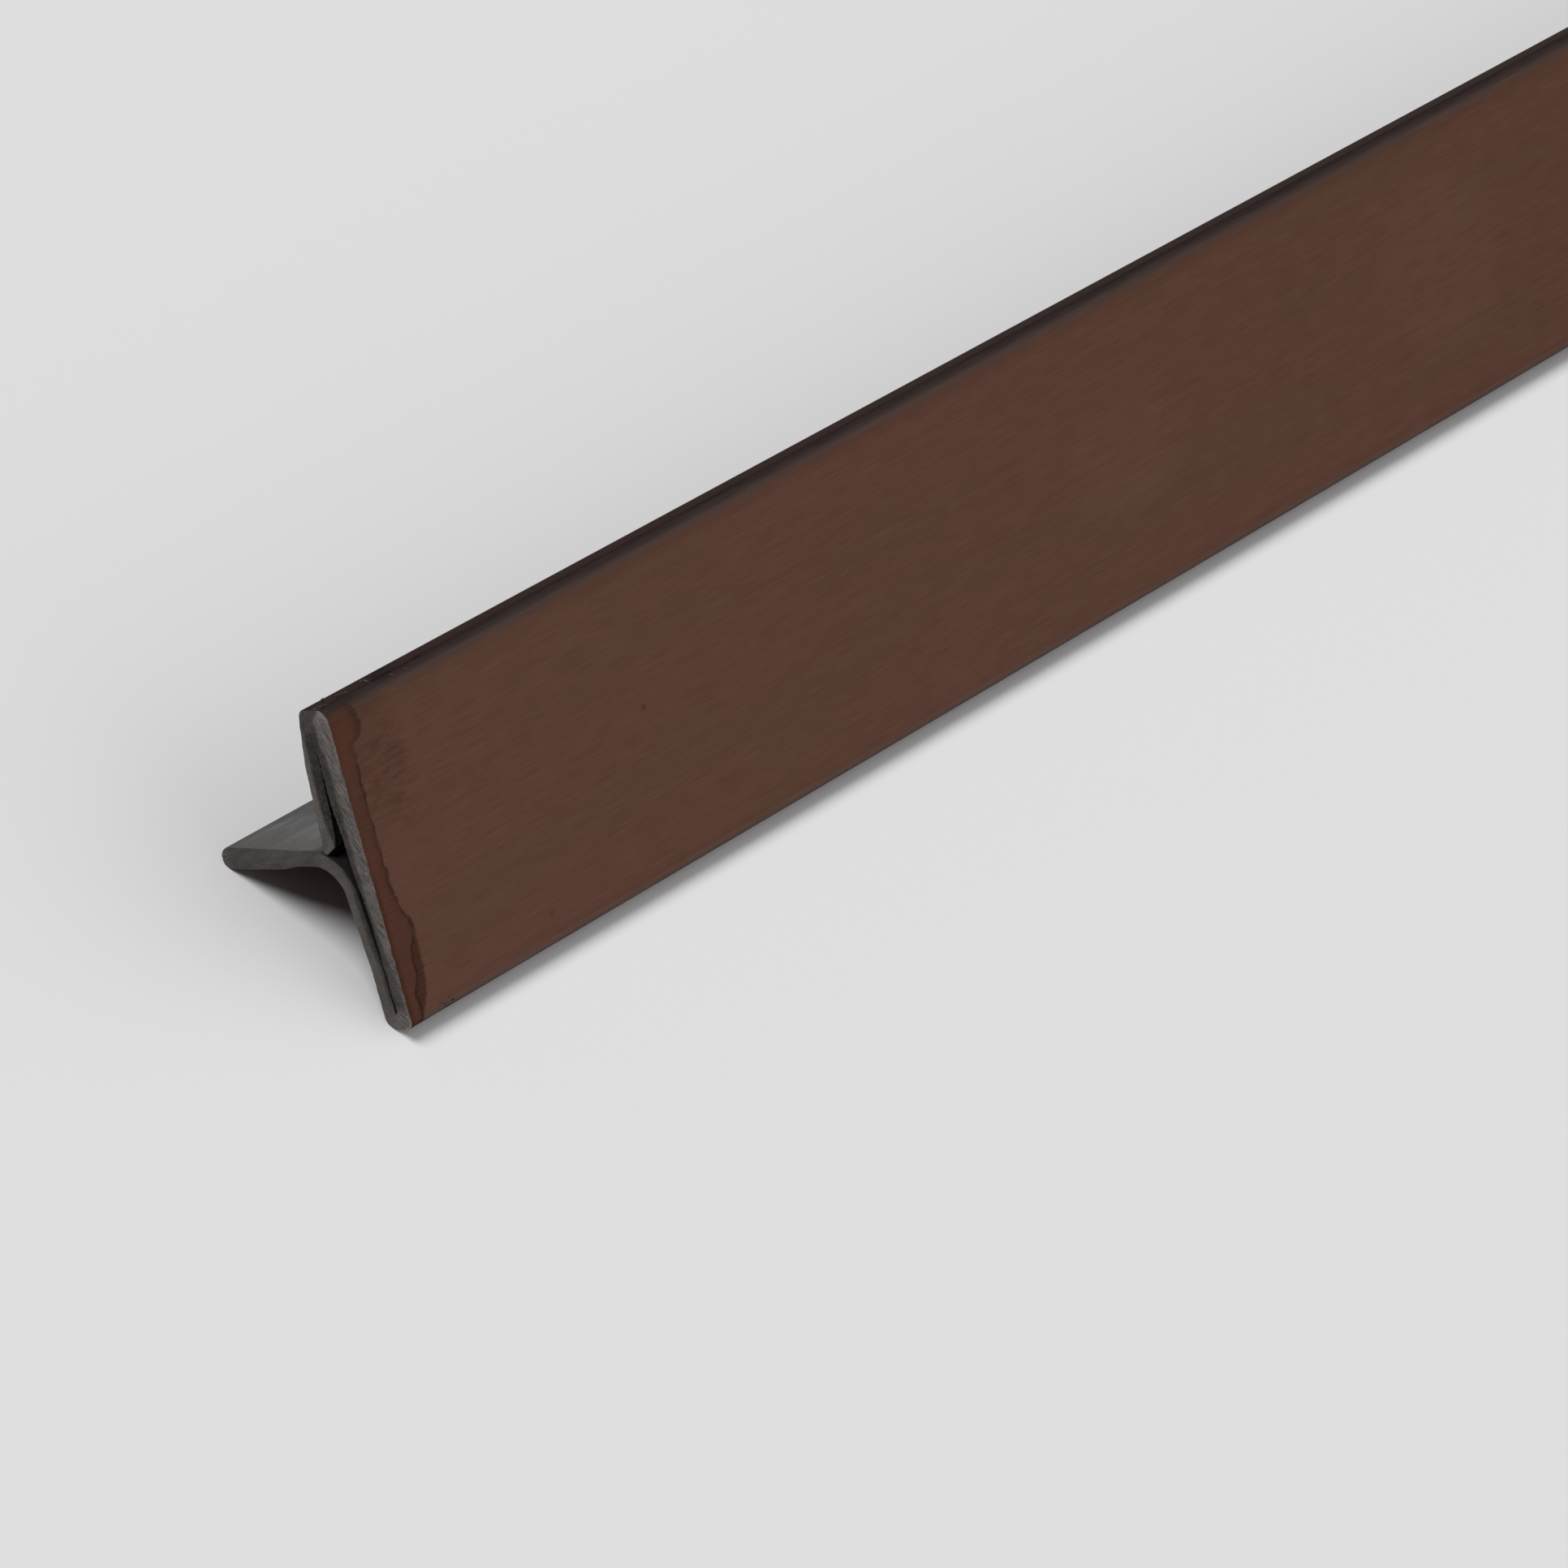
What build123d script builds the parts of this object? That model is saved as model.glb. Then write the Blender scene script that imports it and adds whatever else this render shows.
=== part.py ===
from build123d import *
from math import asin, atan2, degrees, radians, sin, sqrt, tan
import os

# A decorative T trim folded from one strip of stainless steel.
# Its coated side starts at a cut edge behind the face, runs up the upper back layer, over the top
# hem, down the face, round the bottom hem, up the lower back layer and out under the stem. The bare
# side is the same path one sheet further in, so the two back layers lie along the face with a slit
# between, and the stem leaves from between them.
# The section is drawn upright, with the face at x = 0, the stem along +x and the bottom edge at
# y = 0, and is then turned to the way the trim lies on a floor: on its bottom hem and its toe.
# The length runs along +X, and the origin is at the middle of the footprint. Sizes are in millimetres.

# Stock
length = 1000.0
sheet = 1.0

# Overall section
flange_width = 20.0
depth = 12.0
stem_top_below_edge = 8.8

# Upper back layer: the clear slit inside its hem, its lean away from the face beside the hem, and
# the smaller lean that follows
top_slit = 0.3
top_hem_lean = 10.5
top_hem_reach = 3.4
top_lean = 4.5

# Lower back layer: its slit and lean beside the hem, and the greater lean of the last stretch up to
# the stem
bottom_slit = 0.1
bottom_hem_lean = 0.5
bottom_root_reach = 4.7
bottom_lean = 4.5

# Rounds on the coated side, and the gentle bends where a back layer changes its lean
top_face_round = 0.85
top_back_round = 0.55
bottom_face_round = 0.55
bottom_back_round = 0.75
lean_round = 12.0
root_radius = 2.0

# Cut edge of the upper back layer, sheared on a slant and stopping just short of the root bend
cut_edge_gap = 0.05
cut_edge_slant = 36.0
cut_edge_round = 0.2
cut_edge_inner_round = 0.1

# Toe: a little past the root the stem starts to swell, up to its end, which is round but for a
# narrow flat
toe_thickness = 1.42
toe_flat = 0.1
swell_from_root = 3.5
swell_round = 8.0


def leaning(start, rise, lean):
    """Point that a back layer reaches after a rise (or a fall), leaning away from the face."""
    return Vector(start.X + abs(rise) * tan(radians(lean)), start.Y + rise)


def moved_in(path):
    """The path moved to its left by the sheet's thickness, with mitred corners."""
    runs = [(after - before).normalized() for before, after in zip(path, path[1:])]
    lefts = [Vector(-run.Y, run.X) for run in runs]
    moved = [path[0] + lefts[0] * sheet]
    for corner, one, other in zip(path[1:], lefts, lefts[1:]):
        moved.append(corner + (one + other) * (sheet / (1 + one.dot(other))))
    moved.append(path[-1] + lefts[-1] * sheet)
    return moved


def round_centre(before, corner, after, radius):
    """Centre of the round that blends the corner between two straight runs."""
    to_before = (before - corner).normalized()
    to_after = (after - corner).normalized()
    half_angle = radians(to_before.get_angle(to_after) / 2)
    return corner + (to_before + to_after).normalized() * (radius / sin(half_angle))


def comes_to(start, heading, centre, distance):
    """Where a line that heads past a centre first comes to a distance from it."""
    away = start - centre
    along = away.dot(heading)
    return start - heading * (along + sqrt(distance**2 - away.length**2 + along**2))


# The coated side, from the top hem to the stem
stem_middle = flange_width - stem_top_below_edge - sheet / 2
top_back = Vector(2 * sheet + top_slit, flange_width)
top_face = Vector(0, flange_width)
bottom_face = Vector(0, 0)
bottom_back = Vector(2 * sheet + bottom_slit, 0)
under_stem = stem_middle - sheet / 2
top_change = leaning(top_back, -top_hem_reach, top_hem_lean)
bottom_change = leaning(bottom_back, under_stem - bottom_root_reach, bottom_hem_lean)
root = leaning(bottom_change, bottom_root_reach, bottom_lean)
swell_start = Vector(root.X + swell_from_root, under_stem)

# The upper back layer comes down until the rounded corner of its cut edge is just clear of the
# outside of the root bend
bare_root = moved_in([bottom_back, bottom_change, root, swell_start])
bend_radius = root_radius + sheet
bend_centre = round_centre(bare_root[1], bare_root[2], bare_root[3], bend_radius)
down_the_layer = (leaning(top_change, -1, top_lean) - top_change).normalized()
into_the_sheet = Vector(down_the_layer.Y, -down_the_layer.X)
corner_centre = comes_to(
    top_change + into_the_sheet * cut_edge_round,
    down_the_layer,
    bend_centre,
    bend_radius + cut_edge_gap + cut_edge_round,
)
past_centre = cut_edge_round / tan(radians(90 - cut_edge_slant) / 2)
cut_edge = corner_centre - into_the_sheet * cut_edge_round + down_the_layer * past_centre

coated = [
    cut_edge,
    top_change,
    top_back,
    top_face,
    bottom_face,
    bottom_back,
    bottom_change,
    root,
    swell_start,
]
coated_rounds = [
    cut_edge_round,
    lean_round,
    top_back_round,
    top_face_round,
    bottom_face_round,
    bottom_back_round,
    lean_round,
    root_radius,
    swell_round,
]

# The bare side, with the cut edge sheared on a slant
bare = moved_in(coated)
bare[0] = bare[0] - down_the_layer * (sheet * tan(radians(cut_edge_slant)))
bare_rounds = [
    cut_edge_inner_round,
    lean_round - sheet,
    0,
    0,
    0,
    0,
    lean_round + sheet,
    root_radius + sheet,
    swell_round,
]

toe_round = (toe_thickness - toe_flat) / 2
toe = [
    Vector(depth, stem_middle - toe_thickness / 2),
    Vector(depth, stem_middle + toe_thickness / 2),
]
corners = coated + toe + bare[::-1]
rounds = coated_rounds + [toe_round, toe_round] + bare_rounds[::-1]

# The floor touches the rounds of the bottom hem and of the toe
hem_centre = round_centre(bottom_face, bottom_back, bottom_change, bottom_back_round)
toe_centre = round_centre(swell_start, toe[0], toe[1], toe_round)
span = toe_centre - hem_centre
rest_angle = degrees(atan2(span.Y, span.X) - asin((toe_round - bottom_back_round) / span.length))

with BuildPart() as strip:
    with BuildSketch(Plane.YZ):
        with BuildLine():
            FilletPolyline(*corners, radius=rounds, close=True)
        make_face()
    extrude(amount=length)

lying = strip.part.rotate(Axis.X, -rest_angle)
box = lying.bounding_box()
middle = box.center()
lying = lying.translate((-middle.X, -middle.Y, -box.min.Z))
lying.label = "t_profile_strip"

os.makedirs("parts", exist_ok=True)
export_step(lying, "parts/t_profile_strip.step")

size = lying.bounding_box().size
print(f"size {size.X:.2f} x {size.Y:.2f} x {size.Z:.2f} mm, volume {lying.volume:.0f} mm3")
print(f"rest angle {rest_angle:.2f} degrees")
print(f"cut edge {flange_width - cut_edge.Y:.2f} mm below the top edge")
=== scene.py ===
from math import asin, atan2, ceil, cos, pi, radians, sin, sqrt, tan

import bpy
import numpy as np
from mathutils import Matrix, Vector
from mathutils.geometry import delaunay_2d_cdt


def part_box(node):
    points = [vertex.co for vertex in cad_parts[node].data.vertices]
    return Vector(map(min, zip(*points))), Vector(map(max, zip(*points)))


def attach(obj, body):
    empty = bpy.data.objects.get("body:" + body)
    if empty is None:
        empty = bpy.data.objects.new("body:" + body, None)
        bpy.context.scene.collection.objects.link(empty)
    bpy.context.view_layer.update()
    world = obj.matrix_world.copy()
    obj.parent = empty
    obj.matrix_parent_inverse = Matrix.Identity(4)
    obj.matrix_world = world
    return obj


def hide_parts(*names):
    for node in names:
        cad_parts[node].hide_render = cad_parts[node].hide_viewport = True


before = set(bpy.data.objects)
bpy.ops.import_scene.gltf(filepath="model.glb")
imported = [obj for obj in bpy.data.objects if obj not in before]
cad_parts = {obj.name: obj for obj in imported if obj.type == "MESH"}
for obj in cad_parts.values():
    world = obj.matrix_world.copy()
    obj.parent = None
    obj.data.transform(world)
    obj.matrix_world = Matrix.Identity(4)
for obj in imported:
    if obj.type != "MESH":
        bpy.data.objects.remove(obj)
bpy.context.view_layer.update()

# The looks of a T trim folded from one strip of coated stainless steel, lying on a pale floor.
# The strip is modelled again with fine rounds, worn cut ends and burrs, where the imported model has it.
# Section sizes are in millimetres: depth is measured from the face towards the toe of the stem, and
# height from the bottom edge. Blender's own lengths are in metres.

NODE = "t_profile_strip"
MM = 0.001
NEAR_END, FAR_END = (corner.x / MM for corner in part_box(NODE))

# Section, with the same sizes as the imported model
SHEET = 1.0
FLANGE_WIDTH = 20.0
DEPTH = 12.0
STEM_TOP_BELOW_EDGE = 8.8
TOP_SLIT = 0.3
TOP_HEM_LEAN = 10.5
TOP_HEM_REACH = 3.4
TOP_LEAN = 4.5
BOTTOM_SLIT = 0.1
BOTTOM_HEM_LEAN = 0.5
TOP_FACE_ROUND = 0.85
TOP_BACK_ROUND = 0.55
BOTTOM_FACE_ROUND = 0.55
BOTTOM_BACK_ROUND = 0.75
LEAN_ROUND = 12.0
ROOT_RADIUS = 2.0
CUT_EDGE_GAP = 0.05
CUT_EDGE_SLANT = 36.0
CUT_EDGE_ROUND = 0.2
CUT_EDGE_INNER_ROUND = 0.1
TOE_THICKNESS = 1.42
TOE_FLAT = 0.1
SWELL_ROUND = 8.0

# Two places that follow the photo instead: the lower back layer leans out by up to 0.17 mm more, and
# the swell below the stem is a short step
BOTTOM_ROOT_REACH = 6.4
BOTTOM_LEAN = 5.0
SWELL_FROM_ROOT = 3.2
STEP_START_ROUND = 3.0
STEP_END = (7.1, 10.0)
STEP_END_ROUND = 2.0

# Steps round the outline and over the cut ends, and distances from either end where it is repeated
OUTLINE_STEP = 0.11
ROUND_STEP = radians(8)
FEWEST_STEPS = 2
CAP_STEP = 0.12
CAP_ROW_STEP = CAP_STEP * 0.87
CAP_JITTER = 0.2
CAP_CLEARANCE = 0.55
STATIONS = (0.05, 0.12, 0.3, 0.8, 2, 4, 7, 12, 20, 35, 60, 100, 170, 270, 380)


def leaning(start, rise, lean):
    """Point that a back layer reaches after a rise (or a fall), leaning away from the face."""
    return Vector((start.x + abs(rise) * tan(radians(lean)), start.y + rise))


def left_of(run):
    return Vector((-run.y, run.x))


def moved_in(path):
    """The path moved to its left by the sheet's thickness, with mitred corners."""
    lefts = [left_of((after - before).normalized()) for before, after in zip(path, path[1:])]
    moved = [path[0] + lefts[0] * SHEET]
    for corner, one, other in zip(path[1:], lefts, lefts[1:]):
        moved.append(corner + (one + other) * (SHEET / (1 + one.dot(other))))
    moved.append(path[-1] + lefts[-1] * SHEET)
    return moved


def round_centre(before, corner, after, radius):
    """Centre of the round that blends the corner between two straight runs."""
    to_before = (before - corner).normalized()
    to_after = (after - corner).normalized()
    return corner + (to_before + to_after).normalized() * (radius / sin(to_before.angle(to_after) / 2))


def comes_to(start, heading, centre, distance):
    """Where a line that heads past a centre first comes to a distance from it."""
    away = start - centre
    along = away.dot(heading)
    return start - heading * (along + sqrt(distance**2 - away.length_squared + along**2))


def section():
    """Corners of the strip's outline with their rounds and finishes, and the angle at which it rests."""
    stem_middle = FLANGE_WIDTH - STEM_TOP_BELOW_EDGE - SHEET / 2
    under_stem = stem_middle - SHEET / 2
    top_back = Vector((2 * SHEET + TOP_SLIT, FLANGE_WIDTH))
    top_face = Vector((0, FLANGE_WIDTH))
    bottom_face = Vector((0, 0))
    bottom_back = Vector((2 * SHEET + BOTTOM_SLIT, 0))
    top_change = leaning(top_back, -TOP_HEM_REACH, TOP_HEM_LEAN)
    bottom_change = leaning(bottom_back, under_stem - BOTTOM_ROOT_REACH, BOTTOM_HEM_LEAN)
    root = leaning(bottom_change, BOTTOM_ROOT_REACH, BOTTOM_LEAN)
    swell_start = Vector((root.x + SWELL_FROM_ROOT, under_stem))

    # The upper back layer comes down until the corner of its cut edge is just clear of the root bend
    bend_radius = ROOT_RADIUS + SHEET
    bare_root = moved_in([bottom_back, bottom_change, root, swell_start])
    bend_centre = round_centre(*bare_root[1:], bend_radius)
    down_the_layer = (leaning(top_change, -1, TOP_LEAN) - top_change).normalized()
    into_the_sheet = -left_of(down_the_layer)
    corner_centre = comes_to(
        top_change + into_the_sheet * CUT_EDGE_ROUND,
        down_the_layer,
        bend_centre,
        bend_radius + CUT_EDGE_GAP + CUT_EDGE_ROUND,
    )
    past_centre = CUT_EDGE_ROUND / tan(radians(90 - CUT_EDGE_SLANT) / 2)
    cut_edge = corner_centre - into_the_sheet * CUT_EDGE_ROUND + down_the_layer * past_centre

    coated = [
        cut_edge, top_change, top_back, top_face, bottom_face, bottom_back, bottom_change, root, swell_start,
    ]
    coated_rounds = [
        CUT_EDGE_ROUND, LEAN_ROUND, TOP_BACK_ROUND, TOP_FACE_ROUND, BOTTOM_FACE_ROUND,
        BOTTOM_BACK_ROUND, LEAN_ROUND, ROOT_RADIUS, STEP_START_ROUND,
    ]
    bare = moved_in(coated)
    bare[0] = bare[0] - down_the_layer * (SHEET * tan(radians(CUT_EDGE_SLANT)))
    bare_rounds = [
        CUT_EDGE_INNER_ROUND, LEAN_ROUND - SHEET, 0, 0, 0, 0, LEAN_ROUND + SHEET, bend_radius, SWELL_ROUND,
    ]
    toe_round = (TOE_THICKNESS - TOE_FLAT) / 2
    toe = [Vector((DEPTH, stem_middle + side * TOE_THICKNESS / 2)) for side in (-1, 1)]
    hem_centre = round_centre(bottom_face, bottom_back, bottom_change, BOTTOM_BACK_ROUND)
    step_end = Vector(STEP_END)
    toe_centre = round_centre(step_end, toe[0], toe[1], toe_round)
    span = toe_centre - hem_centre
    rest_angle = atan2(span.y, span.x) - asin((toe_round - BOTTOM_BACK_ROUND) / span.length)
    corners = coated + [step_end] + toe + bare[::-1]
    rounds = coated_rounds + [STEP_END_ROUND, toe_round, toe_round] + bare_rounds[::-1]
    # The coat goes on over the step and the toe's end, and the last edge is the sheared one
    finishes = ["coat"] * (len(coated) + 2) + ["bare"] * len(bare) + ["cut"]
    return corners, rounds, finishes, rest_angle


def spread(start, end, step):
    """Points from start up to, but without, end, no further apart than the step."""
    count = max(1, ceil((end - start).length / step))
    return [start.lerp(end, i / count) for i in range(count)]


def arc(before, corner, after, radius):
    """Points along the round of a corner, or the corner alone where it is sharp."""
    if radius == 0:
        return [corner]
    to_before = (before - corner).normalized()
    to_after = (after - corner).normalized()
    reach = radius / tan(to_before.angle(to_after) / 2)
    centre = round_centre(before, corner, after, radius)
    start = corner + to_before * reach - centre
    turn = start.angle_signed(corner + to_after * reach - centre)
    steps = max(FEWEST_STEPS, ceil(max(abs(turn) / ROUND_STEP, abs(turn) * radius / OUTLINE_STEP)))
    return [centre + start @ Matrix.Rotation(turn * k / steps, 2) for k in range(steps + 1)]


def outline(corners, rounds, finishes):
    """The closed outline as many points, with the finish of the edge that follows each."""
    arcs = [
        arc(corners[i - 1], corners[i], corners[(i + 1) % len(corners)], radius)
        for i, radius in enumerate(rounds)
    ]
    points, tags = [], []
    for i, bend in enumerate(arcs):
        run = spread(bend[-1], arcs[(i + 1) % len(arcs)][0], OUTLINE_STEP)
        points += bend[:-1] + run
        tags += [finishes[i]] * (len(bend) - 1 + len(run))
    return np.array([tuple(point) for point in points]), tags


corners, rounds, finishes, REST_ANGLE = section()
OUTLINE, TAGS = outline(corners, rounds, finishes)
TURN = np.array([[cos(REST_ANGLE), -sin(REST_ANGLE)], [sin(REST_ANGLE), cos(REST_ANGLE)]])
turned = OUTLINE @ TURN
SHIFT = np.array([turned[:, 0].min() + np.ptp(turned[:, 0]) / 2, turned[:, 1].min()])


def in_row(points, along):
    """Places in the row frame, in metres, of section points at distances along it."""
    return np.column_stack([np.broadcast_to(along, len(points)), points @ TURN - SHIFT]) * MM


def rise(value, start, end):
    """0 before start, 1 after end, and smooth between them."""
    share = np.clip((value - start) / (end - start), 0, 1)
    return share * share * (3 - 2 * share)


def within(value, start, full, fading, end):
    """1 from full to fading, 0 before start and after end, and smooth between them."""
    return rise(value, start, full) * (1 - rise(value, fading, end))


def blend(share, one, other):
    return one * (1 - share) + other * share


KNOTS = 4096


def wander(position, spacing, seed):
    """Smooth random values from -1 to 1 along a line, with a new one every spacing."""
    knots = np.random.default_rng(seed).uniform(-1, 1, KNOTS)
    at = np.asarray(position) / spacing
    low = np.floor(at).astype(int)
    return blend(rise(at - low, 0, 1), knots[low % KNOTS], knots[(low + 1) % KNOTS])


def border(height, points):
    """Depth of a border line at each height, from its few (height, depth) points."""
    return np.interp(height, *zip(*points))


# Borders on the cut end that the photo shows, as (height, depth): the back edge of the bright ground
# metal, the free edges of the two burrs, and the line that the light reaches behind the slit
GROUND_BORDER = (
    (0.3, 0.06), (1.0, 0.10), (2.0, 0.24), (3.0, 0.33), (4.0, 0.46), (5.0, 0.65), (6.0, 0.78), (8.0, 0.95),
    (12.0, 1.0), (16.0, 1.03), (17.0, 1.10), (18.3, 1.18), (19.25, 1.38), (19.6, 1.06), (19.85, 0.7),
)
BURR_EDGE = (
    (1.25, 1.04), (3.0, 1.05), (5.0, 1.07), (6.4, 1.08), (7.0, 1.11), (8.0, 1.18), (9.0, 1.33),
    (10.0, 1.44), (11.0, 1.47), (12.0, 1.52), (13.0, 1.62), (13.6, 1.71), (14.4, 1.76), (15.0, 1.76),
    (16.0, 1.71), (17.0, 1.66), (17.5, 1.80), (18.2, 1.78), (19.2, 1.60),
)
BACK_BURR_EDGE = (
    (11.42, 2.38), (11.6, 2.26), (12.0, 2.15), (13.0, 2.04), (14.0, 1.96), (15.0, 1.89), (16.0, 1.81),
    (17.0, 1.76), (17.7, 1.73),
)
LIT_BORDER = (
    (10.0, 2.3), (11.5, 2.4), (12.5, 2.55), (13.0, 2.64), (15.0, 2.62), (16.0, 2.55), (17.0, 2.45),
    (18.0, 2.4), (18.8, 2.3),
)
# Height that parts the upper layers from the lower ones, and the depths at which they and the stem start
STEM_HEIGHT = 12.0
UPPER_LAYER = 1.3
LOWER_LAYER = 1.04
STEM_START = 3.3
# Brightness of the cut metal in its places
PLAIN_TONE = 0.40
GROUND_TONE = 0.53
HEM_TONE = 0.21
INNER_TONE = 0.045
FAR_TONE = 0.6
# How deep the cut is ground back: for each millimetre past a border, up to the slope's end, and at the hem
SLOPE_END = 0.6
FACE_SLOPE = 0.07
BACK_SLOPE = 0.05
HEM_RECESS = 0.02


def in_face_layer(depth, height):
    """1 in the sheet that carries the face and in its burr, fading out in the hems."""
    in_front = depth < np.where(height > STEM_HEIGHT, UPPER_LAYER, LOWER_LAYER)
    return in_front * within(height, 0.9, 1.6, 18.5, 19.2)


def behind_slit(depth):
    return (depth > UPPER_LAYER) & (depth < STEM_START)


def layer_wall(height, low, high, nearest, furthest):
    """Depth at each height of the bare side of a back layer, found between these heights and depths."""
    wall = np.array([tag == "bare" for tag in TAGS]) & (OUTLINE[:, 1] > low) & (OUTLINE[:, 1] < high)
    points = OUTLINE[wall & (OUTLINE[:, 0] > nearest) & (OUTLINE[:, 0] < furthest)]
    points = points[np.argsort(points[:, 1])]
    return np.interp(height, points[:, 1], points[:, 0])


def upper_wall(height):
    return layer_wall(height, 11.4, 19, 1.25, 2.6)


def lower_wall(height):
    return layer_wall(height, 1.1, 10.3, 1.03, 2.3)


def top_rim_highlight(depth, height):
    """1 along the painted highlight on the rim of the top hem's front round, and less at its very edge."""
    from_middle = np.hypot(depth - TOP_FACE_ROUND, height - FLANGE_WIDTH + TOP_FACE_ROUND)
    rim = rise(from_middle, 0.44, 0.54) * (1 - 0.6 * rise(from_middle, 0.70, 0.80))
    return rim * rise(height, 19.0, 19.35) * (1 - rise(depth, 0.6, 0.85))


def bottom_rim_highlight(depth, height):
    """1 along the painted highlight on the rim of the bottom hem's front round."""
    rim = rise(np.hypot(depth - BOTTOM_FACE_ROUND, height - BOTTOM_FACE_ROUND), 0.40, 0.5)
    return rim * (1 - rise(height, 0.5, 0.9)) * (1 - rise(depth, 0.5, 0.8))


def cut_tone(depth, height):
    """Brightness of the cut end at a place; 1 is about twice the usual one."""
    soft = 0.04 + 0.10 * (1 - rise(height, 18.0, 18.8))
    ground = 1 - rise((depth - border(height, GROUND_BORDER)) / soft, -1, 1)
    tone = PLAIN_TONE + 0.05 * wander(height * 1.3 + depth, 0.8, 5)
    # The upper back layer is brighter, the stem darker and streaked, and the toe's end bright
    tone = tone + 0.07 * behind_slit(depth) * within(height, 11.5, 13.5, 17.5, 18.5)
    stem = rise(depth, 3.2, 4.4) * rise(height, 8.6, 9.2)
    tone = tone - 0.10 * stem * (1 + 0.5 * wander(height + 0.12 * depth, 0.16, 6))
    tone = tone + 0.16 * rise(depth, 10.9, 11.8)
    # Smeared metal between the ground border and the slit
    lip = 0.09 + 0.13 * (1 - rise(height, 3.5, 6.5)) + 0.07 * within(height, 9, 11, 12.5, 14)
    tone = blend(in_face_layer(depth, height) * (1 - ground), tone, lip)
    # Shade on the inner side of both back layers, and in the root's bend
    unlit = 1 - rise(depth - border(height, LIT_BORDER), -0.16, 0.14)
    tone = blend(behind_slit(depth) * rise(height, 11.2, 12.2) * unlit, tone, INNER_TONE)
    from_wall = depth - lower_wall(height)
    wider = within(height, 3.6, 5.0, 8.0, 9.0)
    lower_inner = within(from_wall, -0.06, 0.0, 0.08 + 0.12 * wider, 0.45 + 0.12 * wider)
    lower_inner = lower_inner * within(height, 1.1, 2.2, 9.8, 10.3)
    tone = tone * (1 - (0.75 + 0.10 * wider) * lower_inner)
    tone = tone - 0.11 * within(depth, 2.2, 2.5, 2.9, 3.7) * rise(height, 9.9, 10.3) * (height < 11)
    # The hems, the ground metal itself, and painted highlights on the rims
    tone = blend(rise(height, 17.9, 19.2) * (1 - ground), tone, HEM_TONE)
    tone = tone + 0.10 * (1 - rise(height, 0.6, 1.6))
    tone = blend(ground, tone, GROUND_TONE + 0.08 * wander(height, 1.1, 7))
    return tone + 0.9 * top_rim_highlight(depth, height) + 0.7 * bottom_rim_highlight(depth, height)


def cut_recess(depth, height):
    """How far the cut end is ground back at a place, in millimetres."""
    past_border = np.clip(depth - border(height, GROUND_BORDER), 0, SLOPE_END)
    past_border = past_border * in_face_layer(depth, height)
    past_lit = np.clip(border(height, LIT_BORDER) - depth, 0, SLOPE_END) * behind_slit(depth)
    past_lit = past_lit * rise(height, 12.3, 13.2)
    hem = rise(height, 18.6, 19.8) * rise(depth, 0.9, 1.6)
    return FACE_SLOPE * past_border + BACK_SLOPE * past_lit + HEM_RECESS * hem


def outward(points):
    """Outward directions at the points of the outline."""
    tangent = np.roll(points, -1, 0) - np.roll(points, 1, 0)
    tangent /= np.linalg.norm(tangent, axis=1)[:, None]
    return np.column_stack([tangent[:, 1], -tangent[:, 0]])


def inside(points, ring):
    """Which points lie inside the ring."""
    found = np.zeros(len(points), bool)
    for (x0, y0), (x1, y1) in zip(ring, np.roll(ring, -1, 0)):
        crosses = (y0 > points[:, 1]) != (y1 > points[:, 1])
        if y0 != y1:
            found ^= crosses & (points[:, 0] < (x1 - x0) * (points[:, 1] - y0) / (y1 - y0) + x0)
    return found


def cap(ring, seed):
    """Points within the ring and triangles over ring and points, which come after it."""
    random = np.random.default_rng(seed)
    rows = np.arange(ring[:, 1].min(), ring[:, 1].max(), CAP_ROW_STEP)
    grid = np.array([
        (x + CAP_STEP * 0.5 * (k % 2), y)
        for k, y in enumerate(rows)
        for x in np.arange(ring[:, 0].min(), ring[:, 0].max(), CAP_STEP)
    ])
    grid += random.uniform(-CAP_JITTER, CAP_JITTER, grid.shape) * CAP_STEP
    grid = grid[inside(grid, ring)]
    near = np.array([np.min(np.sum((ring - point) ** 2, axis=1)) for point in grid])
    grid = grid[near > (CAP_STEP * CAP_CLEARANCE) ** 2]
    places = [Vector(point) for point in np.vstack([ring, grid])]
    found = delaunay_2d_cdt(places, [], [list(range(len(ring)))], 1, 1e-5)
    origin = [came[0] for came in found[3]]
    return grid, [[origin[i] for i in face] for face in found[2]]


# The flat map of the whole mesh: the long sides fill its lower part, with most room for the near end,
# and the cut ends, burrs, threads and crumbs lie above them
MAP_NAME = "OFBake"
LENGTH_ON_MAP = ((0, 0.005), (60, 0.42), (120, 0.50), (1000, 0.955))
RING_GAP = 0.001
SIDES_TOP = 0.785
NEAR_CAP_MAP, NEAR_CAP_SCALE = (0.005, 0.802), 0.0158
FAR_CAP_MAP, FAR_CAP_SCALE = (0.345, 0.802), 0.0094
BURR_MAPS = ((0.475, 0.800, 0.99, 0.865), (0.475, 0.872, 0.80, 0.925), (0.81, 0.872, 0.99, 0.925))
THREAD_MAP, THREAD_CELL = (0.475, 0.935), (0.030, 0.028)
CRUMB_MAP, CRUMB_CELL, CRUMBS_IN_ROW = (0.475, 0.970), (0.010, 0.004), 50
# Within the place of a prism: the share for its sides, and the middles and the radii of its two ends
PRISM_SIDES = 0.94
PRISM_ENDS = ((0.975, 0.25), (0.975, 0.75))
PRISM_END_SIZE = (0.02, 0.2)


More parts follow.
